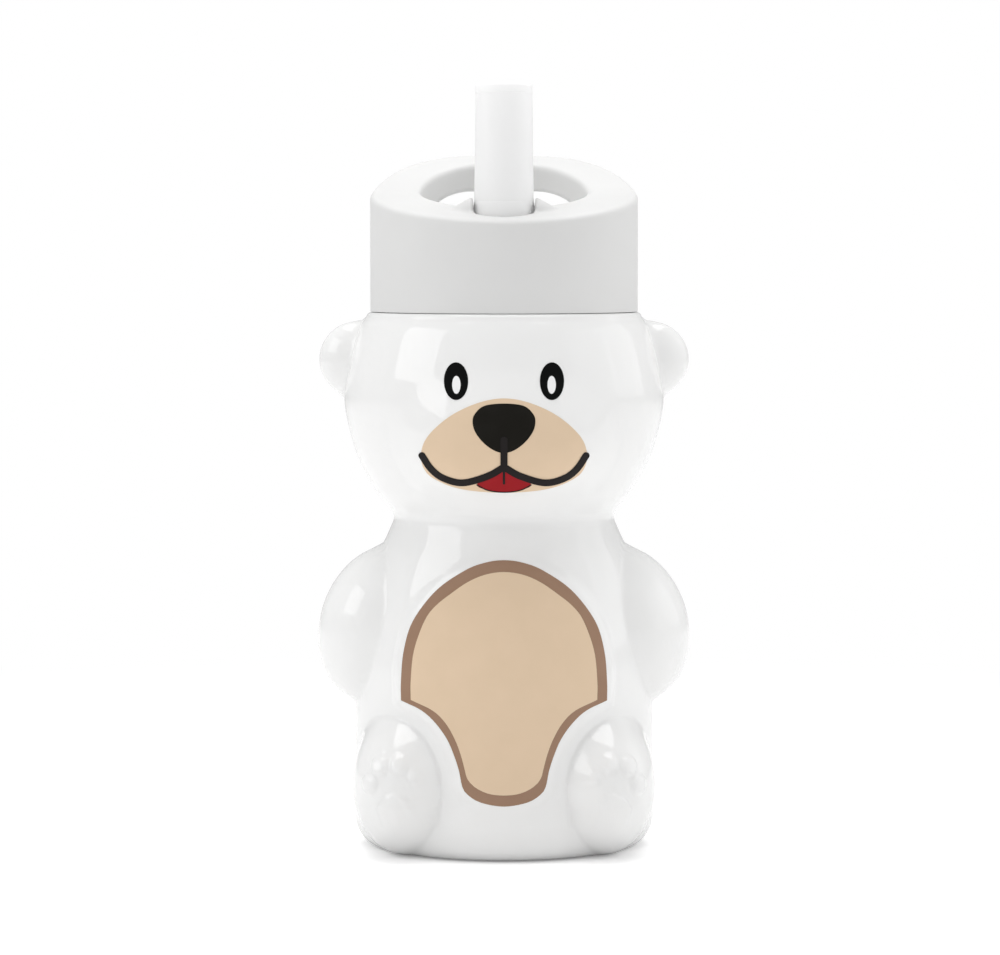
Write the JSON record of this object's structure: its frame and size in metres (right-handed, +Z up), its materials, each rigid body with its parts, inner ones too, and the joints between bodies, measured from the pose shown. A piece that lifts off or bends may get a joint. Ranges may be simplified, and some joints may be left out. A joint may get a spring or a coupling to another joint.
{
  "type": "water bottle",
  "caption": "Bear-shaped drinking bottle with ears, arms and feet, a screw cap with a finger loop, and a flip-up spout on a straw.",
  "frame": {"origin": "middle of the flat base, on the bottle's axis", "axes": "+Z up along the bottle's axis, the face looks along -Y, +X to the right seen from the front"},
  "size_m": [0.0834, 0.0748, 0.1692],
  "materials": {
    "body_plastic": "glossy white blow-moulded polyethylene",
    "cap_plastic": "satin white moulded polypropylene",
    "spout_plastic": "frosted translucent plastic",
    "straw_plastic": "frosted translucent plastic",
    "silicone": "milky silicone",
    "print_black": "gloss print",
    "print_white": "gloss print",
    "print_red": "gloss print",
    "print_tan": "gloss print",
    "print_brown": "gloss print"
  },
  "bodies": {
    "body": {"bottle": "body_plastic", "eye_left": "print_black", "eye_right": "print_black", "eye_glint_left": "print_white", "eye_glint_right": "print_white", "nose": "print_black", "mouth": "print_black", "tongue": "print_red", "muzzle_patch": "print_tan", "chin_patch": "print_tan", "tummy_patch": "print_tan", "tummy_border": "print_brown"},
    "gasket": {"cap_gasket": "silicone"},
    "lid": {"cap": "cap_plastic", "spout_seal": "silicone", "straw": "straw_plastic", "vent_valve": "silicone"},
    "spout": {"spout": "spout_plastic"}
  },
  "joints": [
    {"name": "lid_rise", "type": "slide", "parent": "body", "child": "gasket", "axis": [0, 0, 1], "range_m": [0, 0.005]},
    {"name": "lid_turn", "type": "hinge", "parent": "gasket", "child": "lid", "pos_m": [0, 0, 0.1192], "axis": [0, 0, 1], "range_deg": [0, 450]},
    {"name": "spout_flip", "type": "hinge", "parent": "lid", "child": "spout", "pos_m": [0, -0.0175, 0.1406], "axis": [-1, 0, 0], "range_deg": [0, 76]}
  ],
  "couplings": [
    {"joint": "lid_rise", "follows": "lid_turn", "m_per_rad": 0.00063662}
  ]
}
